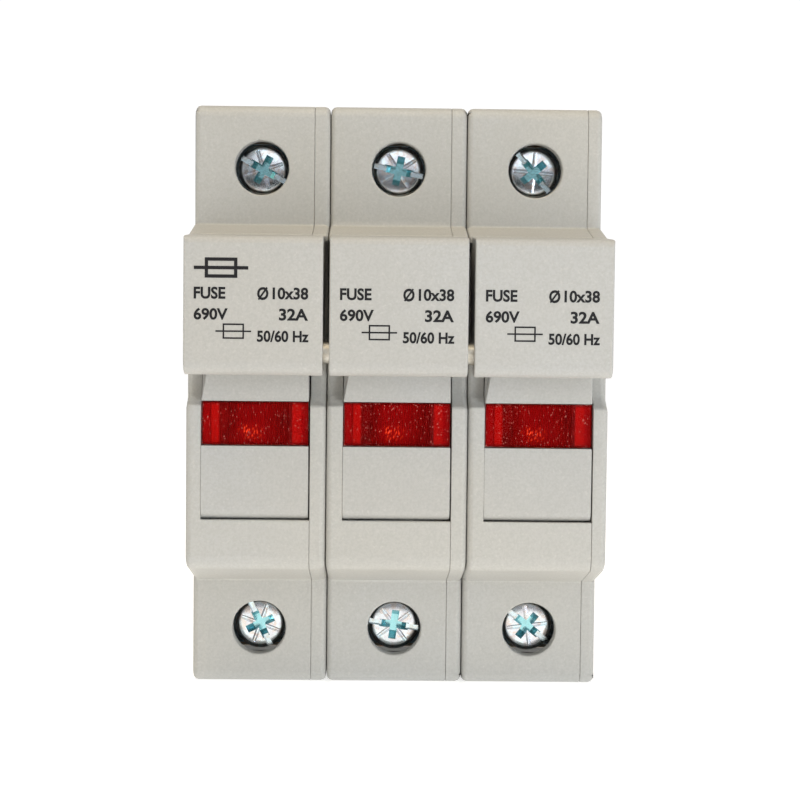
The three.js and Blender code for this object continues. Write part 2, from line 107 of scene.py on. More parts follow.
RIVET_NODES = ["rivet_upper_front", "rivet_lower_front", "rivet_upper_rear", "rivet_lower_rear"]
SCREW_TURN = {1: (28, 65), 2: (12, 8), 3: (50, 38)}


# Settings


def length(name, description, default):
    return FloatProperty(name=name, description=description, default=default, unit="LENGTH", precision=5)


def colour(name, description, default):
    return FloatVectorProperty(
        name=name, description=description, default=default, subtype="COLOR", size=3, min=0, max=1
    )


class HolderSizes(bpy.types.PropertyGroup):
    outer_edge: length("Outer edges", "Rounding of the mouldings' outer edges", 0.00072)
    handle_edge: length("Handle edges", "Rounding of the handle's side edges", 0.0002)
    handle_brow: length("Handle brow", "Rounding along the top of the handle", 0.0009)
    nose_foot: length("Nose foot", "Rounding along the foot of the nose", 0.0018)
    panel_edge: length("Panel edges", "Rounding of the carrier's panels", 0.0002)
    window_edge: length("Window edges", "Rounding beside the windows and on the panels' left", 0.00006)
    seam_edge: length("Seam edges", "Rounding where tray and cover meet", 0.0001)
    seam_fill: length("Seam fill", "How far tray and cover each reach into their joint", 0.00001)
    pole_fill: length("Pole fill", "How far each pole swells towards its neighbour", 0.00015)
    hole_edge: length("Hole edges", "Rounding at the mouths of the holes", 0.00025)
    metal_edge: length("Metal edges", "Rounding of strip and cage edges", 0.00015)
    ink: length("Ink", "Thickness of the printing", 0.000015)
    flute: length("Flute", "Spacing of the ribs behind the red window", 0.0003)
    thread_pitch: length("Thread pitch", "Pitch of the terminal screws", 0.0008)
    grain: length("Grain", "Size of the spark-eroded grain", 0.0003)
    grain_depth: length("Grain depth", "Depth of the spark-eroded grain", 0.000012)
    rounding_steps: IntProperty(
        name="Rounding steps", description="Facets across a rounded edge", default=3, min=1, max=6
    )


class HolderColours(bpy.types.PropertyGroup):
    housing: colour("Housing", "Moulded housing", (0.475, 0.470, 0.443))
    carrier: colour("Carrier", "Moulded carrier and handle", (0.46, 0.456, 0.435))
    ink: colour("Ink", "Printing on the handles", (0.012, 0.012, 0.014))
    window: colour("Window", "Red window", (0.52, 0.003, 0.003))
    # Painted light: the colour of the bright bands painted on the windows' fluted backs.
    glow: colour("Glow", "Bright bands in the red window", (0.36, 0.003, 0.002))
    zinc: colour("Zinc", "Blue-passivated zinc plate", (0.60, 0.68, 0.72))
    nickel: colour("Nickel", "Nickel plate", (0.70, 0.68, 0.63))
    copper: colour("Tinned copper", "Contacts and terminal bars", (0.62, 0.55, 0.46))
    spring: colour("Spring steel", "Jaw springs", (0.30, 0.31, 0.33))
    ceramic: colour("Ceramic", "Fuse tubes", (0.80, 0.78, 0.72))
    resistor: colour("Resistor", "Lacquer of the lamp's resistor", (0.20, 0.38, 0.50))
    latch: colour("Latch", "Rail latches", (0.33, 0.33, 0.31))
    floor: colour("Floor", "Floor of the studio", (0.97, 0.97, 0.97))


def sizes():
    return bpy.context.scene.holder_sizes


def colours():
    return bpy.context.scene.holder_colours


# Shader maths


class Field:
    """A shader socket that arithmetic works on."""

    def __init__(self, finish, socket):
        self.finish = finish
        self.socket = socket

    def maths(self, operation, *values):
        return self.finish.node("ShaderNodeMath", {"operation": operation}, dict(enumerate(values)))

    def __add__(self, other):
        return self.maths("ADD", self, other)

    def __radd__(self, other):
        return self.maths("ADD", other, self)

    def __sub__(self, other):
        return self.maths("SUBTRACT", self, other)

    def __rsub__(self, other):
        return self.maths("SUBTRACT", other, self)

    def __mul__(self, other):
        return self.maths("MULTIPLY", self, other)

    def __rmul__(self, other):
        return self.maths("MULTIPLY", other, self)

    def __truediv__(self, other):
        return self.maths("DIVIDE", self, other)

    def __abs__(self):
        return self.maths("ABSOLUTE", self)

    def sine(self):
        return self.maths("SINE", self)


class Finish:
    """One material: nodes are added one call at a time and end in a Principled shader."""

    def __init__(self, name, **shader):
        self.material = bpy.data.materials.new(name)
        self.material.use_nodes = True
        self.tree = self.material.node_tree
        self.tree.nodes.clear()
        self.shader = self.node("ShaderNodeBsdfPrincipled", None, shader)
        self.node("ShaderNodeOutputMaterial", None, {"Surface": self.shader}, out=None)

    def node(self, kind, settings=None, inputs=None, out=0):
        made = self.tree.nodes.new(kind)
        for key, value in (settings or {}).items():
            if key == "stops":
                self.set_stops(made.color_ramp, value)
            else:
                setattr(made, key, value)
        for key, value in (inputs or {}).items():
            self.feed(made.inputs[key], value)
        return None if out is None else Field(self, made.outputs[out])

    def feed(self, socket, value):
        if isinstance(value, Field):
            self.tree.links.new(value.socket, socket)
        else:
            socket.default_value = value

    def set_stops(self, ramp, stops):
        while len(ramp.elements) < len(stops):
            ramp.elements.new(1)
        for element, (position, shade) in zip(ramp.elements, stops):
            element.position = position
            element.color = (*shade, 1)

    def give(self, **channels):
        """Feeds the Principled shader; names are its sockets with _ for a space."""
        principled = self.shader.socket.node
        for name, value in channels.items():
            self.feed(principled.inputs[name.replace("_", " ")], value)

    def place(self, centre=(0, 0, 0), turn=(0, 0, 0), stretch=(1, 1, 1)):
        """Object coordinates measured from a centre, turned and stretched."""
        at = self.node("ShaderNodeTexCoord", out=3)
        return self.node(
            "ShaderNodeMapping",
            {"vector_type": "TEXTURE"},
            {"Vector": at, "Location": centre, "Rotation": turn, "Scale": stretch},
        )

    def axes(self, at):
        split = self.node("ShaderNodeSeparateXYZ", None, {"Vector": at})
        return [Field(self, output) for output in split.socket.node.outputs]

    def noise(self, at, size, detail=2, roughness=0.5):
        return self.node(
            "ShaderNodeTexNoise", None,
            {"Vector": at, "Scale": 1 / size, "Detail": detail, "Roughness": roughness},
        )

    def cells(self, at, size):
        return self.node("ShaderNodeTexVoronoi", {"feature": "F1"}, {"Vector": at, "Scale": 1 / size})

    def blend(self, factor, first, second, how="MIX"):
        return self.node(
            "ShaderNodeMix", {"data_type": "RGBA", "blend_type": how},
            {0: factor, 6: first, 7: second}, out=2,
        )

    def between(self, value, low, high):
        """0 below low, 1 above high and smooth between."""
        return self.node(
            "ShaderNodeMapRange", {"interpolation_type": "SMOOTHSTEP"},
            {"Value": value, "From Min": low, "From Max": high},
        )

    def bump(self, height, distance, strength=1.0):
        return self.node(
            "ShaderNodeBump", None, {"Height": height, "Distance": distance, "Strength": strength}
        )


def shade(tint, factor):
    return (*(min(1, channel * factor) for channel in tint), 1)


finishes = {}


def finish(name):
    """The material of that name, made the first time it is asked for."""
    if name not in finishes:
        finishes[name] = FINISHES[name]()
    return finishes[name]


def moulded(name, tint, roughness):
    """Spark-eroded thermoplastic: fine grain, faint clouding and rubbed high spots."""
    made = Finish(name, **{"IOR": 1.5, "Specular IOR Level": 0.4})
    at = made.place()
    grain = sizes().grain
    pits = made.noise(at, grain, 3, 0.6)
    fine = made.cells(at, grain * 0.6)
    cloud = made.noise(at, 9 * MM, 3)
    warmth = made.noise(at, 25 * MM, 1)
    speck = made.between(made.noise(at, grain * 1.4, 1), 0.62, 0.74)
    cool = shade((tint[0] * 0.985, tint[1], tint[2] * 1.03), 1.0)
    base = made.blend(made.between(warmth, 0.35, 0.65), shade(tint, 1.0), cool)
    base = made.blend(made.between(cloud, 0.3, 0.7) * 0.5, base, shade(tint, 0.955))
    base = made.blend(made.between(pits, 0.35, 0.68) * 0.55, base, shade(tint, 0.84))
    base = made.blend(speck * 0.4, base, shade(tint, 1.14))
    made.give(
        Base_Color=base,
        Roughness=roughness + 0.16 * pits - 0.05 * cloud,
        Normal=made.bump(pits * 0.65 + fine * 0.35, sizes().grain_depth, 0.75),
    )
    return made.material


def plated(name, tint, roughness, tarnish, blotch=1.6 * MM):
    """Plated metal: clouded sheen, fine scratches and a tint that wanders."""
    made = Finish(name, **{"Metallic": 1.0})
    at = made.place()
    cloud = made.noise(at, blotch, 3)
    scratch = made.noise(made.place(turn=(0.3, 0.5, 0.8), stretch=(12, 1, 1)), 0.09 * MM, 2)
    pits = made.cells(at, 0.35 * MM)
    base = made.blend(made.between(cloud, 0.35, 0.65), shade(tint, 1.08), (*tarnish, 1))
    base = made.blend(made.between(scratch, 0.55, 0.75) * 0.35, base, shade(tint, 0.7))
    made.give(
        Base_Color=base,
        Roughness=roughness + 0.14 * cloud + 0.10 * scratch,
        Normal=made.bump(scratch * 0.6 + pits * 0.4, 4e-6, 0.6),
    )
    return made.material


def screw_zinc():
    """Bright zinc with the blue and teal of its passivation deep in the recess."""
    made = Finish("screw_zinc", **{"Metallic": 1.0})
    tint = colours().zinc
    at = made.place()
    _, back, _ = made.axes(at)
    front = box_of("upper_screw_2")[0].y
    deep = made.between(back, front + 0.3 * MM, front + 1.5 * MM)
    cloud = made.noise(at, 1.1 * MM, 3)
    film = made.noise(at, 0.7 * MM, 2)
    base = made.blend(made.between(cloud, 0.35, 0.65) * 0.7, shade(tint, 1.2), (0.62, 0.60, 0.66, 1))
    base = made.blend(made.between(film, 0.5, 0.62) * 0.5, base, (0.62, 0.50, 0.42, 1))
    base = made.blend(deep * 0.8, base, (0.22, 0.58, 0.64, 1))
    made.give(
        Base_Color=base,
        Roughness=0.1 + 0.16 * cloud,
        Normal=made.bump(made.noise(at, 0.25 * MM, 3), 8e-6, 0.5),
    )
    return made.material


def strip_metal():
    """Tinned copper strip: rolling marks along it and copper showing at rubbed places."""
    made = Finish("tinned_copper", **{"Metallic": 1.0})
    tint = colours().copper
    at = made.place()
    rolled = made.noise(made.place(stretch=(0.2, 6, 6)), 0.25 * MM, 2)
    bare = made.between(made.noise(at, 3 * MM, 4, 0.6), 0.52, 0.66)
    base = made.blend(bare, shade(tint, 1.05), (0.58, 0.33, 0.20, 1))
    base = made.blend(rolled * 0.3, base, shade(tint, 0.72))
    made.give(
        Base_Color=base,
        Roughness=0.24 + 0.2 * rolled + 0.08 * bare,
        Normal=made.bump(rolled, 5e-6, 0.5),
    )
    return made.material


def window_red():
    """Clear red moulding: glossy, with hairline scratches and dust."""
    made = Finish(
        "window_red",
        **{"IOR": 1.5, "Coat Roughness": 0.03, "Specular IOR Level": 0.3},
    )
    tint = colours().window
    at = made.place()
    scratch = made.noise(made.place(turn=(0, 0.5, 0), stretch=(1, 1, 16)), 0.12 * MM, 2)
    dust = made.between(made.cells(at, 0.55 * MM), 0.18, 0.10)
    mark = made.between(scratch, 0.68, 0.76)
    cloud = made.between(made.noise(at, 4 * MM, 2), 0.3, 0.7)
    base = made.blend(cloud, shade(tint, 0.8), shade(tint, 1.15))
    base = made.blend(mark * 0.5, base, (0.85, 0.25, 0.22, 1))
    base = made.blend(dust * 0.8, base, (0.80, 0.35, 0.30, 1))
    made.give(
        Base_Color=base,
        Roughness=0.06 + 0.3 * mark,
        Coat_Weight=1 - 0.6 * mark,
        Alpha=0.08 + 0.3 * mark + 0.5 * dust,
    )
    return made.material


def window_flutes(pole):
    """The fluted back of one window, painted with light and shade: bright bands for the light its side
    walls gather, shaded bands between, rib shade, a glow and glints round the lamp, and shade along its
    top and bottom.
    """
    # Painted light: the fluted back glows a little by its own emission.
    made = Finish(f"window_flutes_{pole}", **{"Specular IOR Level": 0.04, "Emission Strength": 0.2})
    tint, glow = colours().window, colours().glow
    centre = middle_of(f"indicator_window_{pole}")
    at = made.place(centre=centre)
    across, _, up = made.axes(at)
    half = 6.7 * MM
    share = across / (2 * half) + 0.5
    dark, dim, mid = (0.05, 0.0, 0.0), (0.12, 0.0, 0.0), (0.24, 0.0, 0.001)
    hot = tuple(glow)
    # Painted light and shade: bright bands where the side walls gather light, with dark and dim bands of
    # painted shade between them.
    bands = made.node(
        "ShaderNodeValToRGB",
        {"stops": [
            (0.00, dim), (0.02, mid), (0.06, mid), (0.075, dim), (0.09, hot), (0.145, hot),
            (0.165, dark), (0.25, dark), (0.29, dim), (0.38, mid), (0.58, mid), (0.70, dim),
            (0.76, dark), (0.84, dark), (0.855, hot), (0.925, hot), (0.94, mid), (1.00, dim),
        ]},
        {"Fac": share},
    )
    # Painted shade: dark stripes painted along the ribs inside the window.
    ribs = (across * (2 * HALF_TURN / sizes().flute)).sine() * 0.5 + 0.5
    inside = made.between(abs(across + 0.2 * MM), 4.6 * MM, 3.6 * MM)
    base = made.blend(ribs * inside * 0.75, bands, shade(tint, 0.12))
    streak = made.noise(made.place(centre=centre, stretch=(1, 1, 7)), 0.35 * MM, 2)
    base = made.blend(made.between(streak, 0.35, 0.7) * 0.45, base, shade(tint, 0.35))
    # Painted light: the lamp mask paints a pool of light round the lamp, brighter between the painted
    # rib shade.
    aside, below = across + 0.6 * MM, up + 1.0 * MM
    lamp = made.between((aside * aside + below * below * 2.2) / 1e-6, 3.6, 0.3)
    lamp_glow_tint = made.blend(made.noise(at, 0.5 * MM, 2), (0.42, 0.004, 0.003, 1), (0.20, 0.001, 0.001, 1))
    base = made.blend(lamp * 0.55 * (0.4 + 0.6 * (1 - ribs)), base, lamp_glow_tint)
    # Painted highlight: bright glints painted on facets round the lamp.
    facets = made.cells(made.place(centre=centre, turn=(0, 0.35, 0), stretch=(1, 1, 2.2)), 0.3 * MM)
    painted_glint = made.between(facets, 0.42, 0.2) * lamp
    base = made.blend(painted_glint * 0.9, base, (1.0, 0.07, 0.02, 1))
    # Painted shade: the rim mask darkens the back along its top and bottom edges.
    rim = made.between(abs(up), 2.3 * MM, 2.62 * MM)
    base = made.blend(rim * 0.75, base, (0.03, 0.0, 0.0, 1))
    # The painted light and shade also feed the emission, so they glow.
    made.give(
        Base_Color=base,
        Emission_Color=base,
        Roughness=0.35 + 0.2 * streak,
    )
    return made.material


def printing_ink():
    made = Finish("printing_ink", **{"IOR": 1.5, "Specular IOR Level": 0.2})
    tint = colours().ink
    at = made.place()
    worn = made.noise(at, 0.16 * MM, 3, 0.6)
    base = made.blend(made.between(worn, 0.5, 0.8) * 0.6, shade(tint, 1), shade(tint, 2.5))
    made.give(Base_Color=base, Roughness=0.42 + 0.2 * worn, Normal=made.bump(worn, 6e-6, 0.5))
    return made.material


def fired_ceramic():
    made = Finish("fired_ceramic", **{"IOR": 1.55, "Coat Roughness": 0.2})
    tint = colours().ceramic
    at = made.place()
    cloud = made.noise(at, 2.5 * MM, 4)
    speck = made.between(made.cells(at, 0.7 * MM), 0.12, 0.06)
    base = made.blend(made.between(cloud, 0.35, 0.7) * 0.6, shade(tint, 1.05), shade(tint, 0.88))
    base = made.blend(speck * 0.5, base, (0.45, 0.38, 0.28, 1))
    made.give(
        Base_Color=base,
        Roughness=0.38 + 0.15 * cloud,
        Coat_Weight=0.25 + 0.15 * cloud,
        Normal=made.bump(made.noise(at, 0.2 * MM, 3), 6e-6, 0.5),
    )
    return made.material


def lamp_glass():
    """Small discharge lamp: clear glass, greyed at its ends."""
    made = Finish("lamp_glass", **{"IOR": 1.5, "Emission Strength": 0.35, "Coat Roughness": 0.03})
    at = made.place()
    wire = made.noise(made.place(stretch=(5, 1, 1)), 0.3 * MM, 2)
    base = made.blend(made.between(wire, 0.45, 0.6), (0.75, 0.45, 0.32, 1), (0.42, 0.30, 0.26, 1))
    flicker = made.between(made.noise(at, 0.8 * MM, 1), 0.4, 0.6)
    glow = made.blend(flicker, (0.7, 0.12, 0.03, 1), (1, 0.3, 0.08, 1))
    made.give(
        Base_Color=base,
        Emission_Color=glow,
        Roughness=0.08 + 0.08 * wire,
        Coat_Weight=0.8 + 0.2 * wire,
    )
    return made.material


def resistor_lacquer(pole):
    """Lacquered resistor body with its colour bands."""
    made = Finish(f"resistor_lacquer_{pole}", **{"IOR": 1.5, "Coat Roughness": 0.1})
    at = made.place(centre=middle_of(f"indicator_resistor_{pole}"))
    across, _, _ = made.axes(at)
    tint = colours().resistor
    cloud = made.noise(at, 1.2 * MM, 3)
    base = made.blend(cloud * 0.5, shade(tint, 1.1), shade(tint, 0.8))
    for place, band in (
        (-2.2, (0.30, 0.08, 0.02)), (-1.1, (0.10, 0.10, 0.40)), (-0.1, (0.50, 0.35, 0.02)),
        (0.9, (0.45, 0.02, 0.02)), (2.2, (0.55, 0.38, 0.10)),
    ):
        mask = made.between(abs(across - place * MM), 0.30 * MM, 0.22 * MM)
        base = made.blend(mask, base, (*band, 1))
    made.give(
        Base_Color=base,
        Roughness=0.3 + 0.12 * cloud,
        Coat_Weight=0.5 + 0.2 * cloud,
        Normal=made.bump(cloud, 2e-5, 0.4),
    )
    return made.material


def studio_floor():
    made = Finish("studio_floor", **{"Specular IOR Level": 0.15, "Emission Strength": 0.54})
    tint = colours().floor
    at = made.place()
    cloud = made.noise(at, 120 * MM, 3)
    made.give(
        Base_Color=made.blend(cloud * 0.3, shade(tint, 1), shade(tint, 0.97)),
        Emission_Color=made.blend(cloud * 0.2, (1, 1, 1, 1), (0.97, 0.97, 0.97, 1)),
        Roughness=0.8 + 0.1 * cloud,
    )
    return made.material


FINISHES = {
    "housing": lambda: moulded("housing_plastic", colours().housing, 0.50),
    "carrier": lambda: moulded("carrier_plastic", colours().carrier, 0.47),
    "latch": lambda: moulded("latch_plastic", colours().latch, 0.45),
    "ink": printing_ink,
    "window": window_red,
    "screw": screw_zinc,
    "zinc": lambda: plated("zinc_plate", colours().zinc, 0.16, (0.52, 0.66, 0.74)),
    "tie": lambda: plated("tie_nickel", colours().nickel, 0.38, (0.62, 0.58, 0.50), 0.8 * MM),
    "rivet": lambda: plated("rivet_zinc", (0.60, 0.60, 0.58), 0.24, (0.50, 0.50, 0.48)),
    "nickel": lambda: plated("nickel_plate", colours().nickel, 0.18, (0.60, 0.57, 0.50), 4 * MM),
    "spring": lambda: plated("spring_steel", colours().spring, 0.28, (0.22, 0.22, 0.27), 3 * MM),
    "copper": strip_metal,
    "ceramic": fired_ceramic,
    "lamp": lamp_glass,
    "floor": studio_floor,
    **{f"flutes_{pole}": (lambda pole=pole: window_flutes(pole)) for pole in POLES},
    **{f"resistor_{pole}": (lambda pole=pole: resistor_lacquer(pole)) for pole in POLES},
}


# Mesh tools


def add_piece(name, bm, body, slot, material, *nodes):
    """Makes the bmesh an object that rides on a body and stands for the named nodes."""
    mesh = bpy.data.meshes.new(name)
    bm.to_mesh(mesh)
    bm.free()
    mesh.polygons.foreach_set("use_smooth", [True] * len(mesh.polygons))
    mesh.set_sharp_from_angle(angle=math.radians(34))
    mesh.materials.append(finish(material))
    made = bpy.data.objects.new(name, mesh)
    bpy.context.scene.collection.objects.link(made)
    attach(made, body)
    if nodes:
        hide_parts(*nodes)
    return made


def merged_copy(node):
    """A copy of a node's loose triangles, merged and made into flat faces."""
    bm = bmesh.new()
    bm.from_mesh(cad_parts[node].data)
    bmesh.ops.remove_doubles(bm, verts=bm.verts, dist=2e-6)
    bmesh.ops.dissolve_limit(
        bm, angle_limit=math.radians(0.4), use_dissolve_boundaries=False,
        verts=bm.verts, edges=bm.edges, delimit={"NORMAL"},
    )
    return bm


def weigh_edges(bm, radius_of, widest, sharpest=24, hollows=False):
    """Marks the sharp edges, with or without the hollow ones, by their share of the widest rounding."""
    weight = bm.edges.layers.float.new("bevel_weight_edge")
    for edge in bm.edges:
        if len(edge.link_faces) != 2 or not (edge.is_convex or hollows):
            continue
        if edge.calc_face_angle() < math.radians(sharpest):
            continue
        radius = radius_of(edge.verts[0].co, edge.verts[1].co, not edge.is_convex)
        edge[weight] = min(1.0, radius / widest)


def round_edges(made, widest):
    rounding = made.modifiers.new("Rounding", "BEVEL")
    rounding.width = widest
    rounding.segments = sizes().rounding_steps
    rounding.limit_method = "WEIGHT"
    rounding.use_clamp_overlap = False
    rounding.harden_normals = True
    even_shading(made)


def even_shading(made):
    """Keeps large flat faces flat where small rounded ones meet them."""
    shading = made.modifiers.new("Even shading", "WEIGHTED_NORMAL")
    shading.keep_sharp = True


def move(bm, offset):
    bmesh.ops.translate(bm, verts=bm.verts, vec=offset)


def turn(bm, angle, axis):
    bmesh.ops.rotate(bm, verts=bm.verts, cent=(0, 0, 0), matrix=Matrix.Rotation(angle, 3, axis))


def add_rounded_copy(name, node, body, slot, material, radius, widest):
    """Makes the node's own shape a piece, with its convex edges above 40 degrees rounded."""
    bm = merged_copy(node)
    weigh_edges(bm, lambda a, b, hollow: radius, widest, 40)
    round_edges(add_piece(name, bm, body, slot, material, node), widest)


def turned(profile, steps=32, axis="Z"):
    """Spins a profile of [radius, height] points, in millimetres, about the axis."""
    bm = bmesh.new()
    verts = [bm.verts.new((radius * MM, 0, height * MM)) for radius, height in profile]
    edges = [bm.edges.new(pair) for pair in zip(verts, verts[1:])]
    bmesh.ops.spin(
        bm, geom=verts + edges, cent=(0, 0, 0), axis=(0, 0, 1), angle=2 * HALF_TURN,
        steps=steps, use_merge=True, use_duplicate=False,
    )
    bmesh.ops.remove_doubles(bm, verts=bm.verts, dist=1e-7)
    bmesh.ops.recalc_face_normals(bm, faces=bm.faces)
    if axis == "X":
        turn(bm, HALF_TURN / 2, "Y")
    return bm


def block(bm, low, high):
    """Adds a box to a bmesh and returns its verts."""
    low, high = Vector(low), Vector(high)
    shape = Matrix.Translation((low + high) / 2) @ Matrix.Diagonal((*(high - low), 1))
    return bmesh.ops.create_cube(bm, size=1, matrix=shape)["verts"]


def bevel_all(bm, offset):
    bmesh.ops.bevel(
        bm, geom=bm.edges[:], offset=offset, offset_type="OFFSET", segments=2, profile=0.5,
        affect="EDGES", clamp_overlap=True, material=-1,
    )


def join_bmesh(bm, other):
    """Adds another bmesh to this one and frees it."""
    carrier = bpy.data.meshes.new("joining")
    other.to_mesh(carrier)
    other.free()
    bm.from_mesh(carrier)
    bpy.data.meshes.remove(carrier)


def carve(bm, cutters):
    """Cuts each closed bmesh of cutters out of bm; the cutting objects are removed."""
    scene = bpy.context.scene
    helpers = []
    for index, shape in enumerate([bm, *cutters]):
        mesh = bpy.data.meshes.new(f"carving_{index}")
        shape.to_mesh(mesh)
        shape.free()
        helper = bpy.data.objects.new(f"carving_{index}", mesh)
        scene.collection.objects.link(helper)
        helpers.append(helper)
    for cutter in helpers[1:]:
        cutting = helpers[0].modifiers.new("Cutting", "BOOLEAN")
        cutting.operation = "DIFFERENCE"
        cutting.solver = "EXACT"
        cutting.object = cutter
    carved = bmesh.new()
    carved.from_object(helpers[0], bpy.context.evaluated_depsgraph_get())
    for helper in helpers:
        mesh = helper.data
        bpy.data.objects.remove(helper)
        bpy.data.meshes.remove(mesh)
    return carved


def near(a, b, slack=2e-5):
    return abs(a - b) < slack


# Housing


def housing_rule(pole, outer, seam):
    """Roundings of a tray or cover; outer and seam are its two faces across X."""
    middle = pole_middle(pole)
    size = sizes()
    rivets = [middle_of(node) for node in RIVET_NODES]
    screws = [middle_of(f"{end}_screw_{pole}").z for end in ("upper", "lower")]

    def radius(a, b, hollow):
        both_outer = near(a.x, outer) and near(b.x, outer)
        both_seam = near(a.x, seam) and near(b.x, seam)
        if hollow:
            across = near(a.y, b.y) and near(a.z, b.z) and abs(a.x - b.x) > MM
            return size.hole_edge if across and near(a.y, SHOULDER) else 0
        if both_outer:
            if any(math.hypot(a.y - r.y, a.z - r.z) < RIVET_REACH for r in rivets):
                return size.panel_edge
            if a.y < BAY_DEPTH and BAY_FOOT < a.z < BAY_TOP:
                return size.outer_edge * BAY_SHARE
            return size.outer_edge
        if both_seam:
            return size.seam_edge
        if near(a.y, b.y) and near(a.z, b.z):
            spans = near(min(a.x, b.x), min(outer, seam)) and near(max(a.x, b.x), max(outer, seam))
            if spans and near(a.y, NOSE_FRONT) and a.z < NOSE_FOOT:
                return size.nose_foot
            if spans:
                return size.outer_edge * END_SHARE
            return size.panel_edge if max(a.y, b.y) < NOSE_RIM else 0
        if near(a.y, SHOULDER) and near(b.y, SHOULDER):
            if any(math.hypot(a.x - middle, a.z - z) < SCREW_REACH for z in screws):
                return size.hole_edge
        for end in (FLOOR_LEVEL, UPPER_END):
            if near(a.z, end) and near(b.z, end) and abs(a.x - middle) < WIRE_REACH:
                return size.hole_edge
        if max(a.y, b.y) < NOSE_BAND:
            return size.seam_edge
        return 0

    return radius


class HOLDER_OT_housing(bpy.types.Operator):
    """Make the moulded trays and covers with rounded edges"""

    bl_idname = "holder.housing"
    bl_label = "Housings"

    def execute(self, context):
        widest = sizes().nose_foot
        for pole in POLES:
            for part in ("tray", "cover"):
                node = f"housing_{part}_{pole}"
                low, high = box_of(node)
                outer, seam = (low.x, high.x) if part == "tray" else (high.x, low.x)
                bm = merged_copy(node)
                weigh_edges(bm, housing_rule(pole, outer, seam), widest, hollows=True)
                outward = 1 if outer > seam else -1
                neighbour = pole + outward in POLES
                for vert in bm.verts:
                    if near(vert.co.x, seam):
                        vert.co.x -= outward * sizes().seam_fill
                    elif near(vert.co.x, outer) and neighbour:
                        vert.co.x += outward * sizes().pole_fill
                made = add_piece(f"moulded_{part}_{pole}", bm, "housing", "housing", "housing", node)
                round_edges(made, widest)
        return {"FINISHED"}


# Carrier


def carrier_rule(pole):
    middle = pole_middle(pole)
    size = sizes()
    tie = middle_of("tie_bar")

    def radius(a, b, hollow):
        highest = max(a.y, b.y)
        lowest = min(a.z, b.z)
        in_front = near(a.y, HANDLE_FRONT) and near(b.y, HANDLE_FRONT)
        on_side = near(abs(a.x - middle), HANDLE_HALF) and near(abs(b.x - middle), HANDLE_HALF)
        if in_front and near(a.z, HANDLE_TOP, 5e-5) and near(b.z, HANDLE_TOP, 5e-5):
            return size.handle_brow
        if on_side and near(a.x, b.x):
            if a.y > -59.6 * MM and math.hypot(a.y - tie.y, a.z - tie.z) < TIE_REACH:
                return size.seam_edge
            return size.panel_edge if highest > HANDLE_STEP else size.handle_edge
        if highest < HANDLE_BACK and lowest > HANDLE_FOOT - 1e-4 and abs(a.x - b.x) > 10 * MM:
            return size.panel_edge * 1.6
        if near(a.y, NOSE_FRONT) and near(b.y, NOSE_FRONT):
            left = max(a.x, b.x) < middle - 6.4 * MM
            beside_window = WINDOW_FOOT < lowest and max(a.z, b.z) < WINDOW_TOP
            if left or beside_window:
                return size.window_edge
            return size.panel_edge * (2 if max(a.z, b.z) < PANEL_FOOT else 1)
        if highest < PANEL_BACK and lowest < 0 and near(a.x, b.x):
            return size.seam_edge
        return 0

    return radius


def fit_panels(bm, middle):
    """Closes the panels up to their opening and sinks the handle's front by the ink on it."""
    for vert in bm.verts:
        across = vert.co.x - middle
        if near(vert.co.y, HANDLE_FRONT, 1e-6):
            vert.co.y += sizes().ink
        on_side = PANEL_SIDE_FROM < abs(across) < PANEL_SIDE_TO
        if vert.co.y < PANEL_BACK and vert.co.z < 3 * MM and on_side:
            vert.co.x += PANEL_SHIFT_LEFT if across < 0 else PANEL_SHIFT_RIGHT
        if vert.co.y < -52 * MM and vert.co.z < PANEL_FOOT:
            vert.co.z += PANEL_SHIFT_FOOT


class HOLDER_OT_carriers(bpy.types.Operator):
    """Make the tilting carriers with their handles"""

    bl_idname = "holder.carriers"
    bl_label = "Carriers"

    def execute(self, context):
        widest = sizes().handle_brow
        for pole in POLES:
            node = f"fuse_carrier_{pole}"
            bm = merged_copy(node)
            weigh_edges(bm, carrier_rule(pole), widest)
            fit_panels(bm, pole_middle(pole))
            made = add_piece(f"moulded_carrier_{pole}", bm, "carriers", "carrier", "carrier", node)
            round_edges(made, widest)
        return {"FINISHED"}


# Print


def lettering(words, height, left, right, base):
    """Upright bold lettering in the XZ plane, fitted between left and right above the base."""
    curve = bpy.data.curves.new("lettering", "FONT")
    curve.body = words
    curve.size = 1
    curve.offset = 0.032
    curve.resolution_u = 4
    curve.extrude = 0.5
    text = bpy.data.objects.new("lettering", curve)
    bpy.context.scene.collection.objects.link(text)
    bm = bmesh.new()
    flat = bpy.data.meshes.new_from_object(text)
    bm.from_mesh(flat)
    bpy.data.objects.remove(text)
    bpy.data.curves.remove(curve)
    bpy.data.meshes.remove(flat)
    bmesh.ops.remove_doubles(bm, verts=bm.verts, dist=1e-5)
    ends = [vert.co for vert in bm.verts]
    first, last = min(c.x for c in ends), max(c.x for c in ends)
    foot, top = min(c.y for c in ends), max(c.y for c in ends)
    for vert in bm.verts:
        across, up, deep = vert.co
        vert.co = (
            left + (across - first) / (last - first) * (right - left), deep,
            base + (up - foot) / (top - foot) * height,
        )
    return bm


def ink_depth(bm):
    """Lays lettering on the handle: its front reaches the CAD face and its back is sunk in."""
    for vert in bm.verts:
        vert.co.y = HANDLE_FRONT if vert.co.y < 0 else HANDLE_FRONT + sizes().ink * 1.4
    bmesh.ops.recalc_face_normals(bm, faces=bm.faces)


def fuse_symbol(middle, left, right, low, high, line):
    """The drawing sign for a fuse, a long box with a line through it; all but middle in mm."""
    bm = bmesh.new()
    lead = (right - left) * 0.2
    start, end = left + lead, right - lead
    under, over = (low + high - line) / 2, (low + high + line) / 2
    for x0, x1, z0, z1 in (
        (left, right, under, over),
        (start, end, low, low + line),
        (start, end, high - line, high),
        (start, start + line, low + line, under),
        (start, start + line, over, high - line),
        (end - line, end, low + line, under),
        (end - line, end, over, high - line),
    ):
        block(bm, (middle + x0 * MM, -0.5, z0 * MM), (middle + x1 * MM, 0.5, z1 * MM))
    return bm


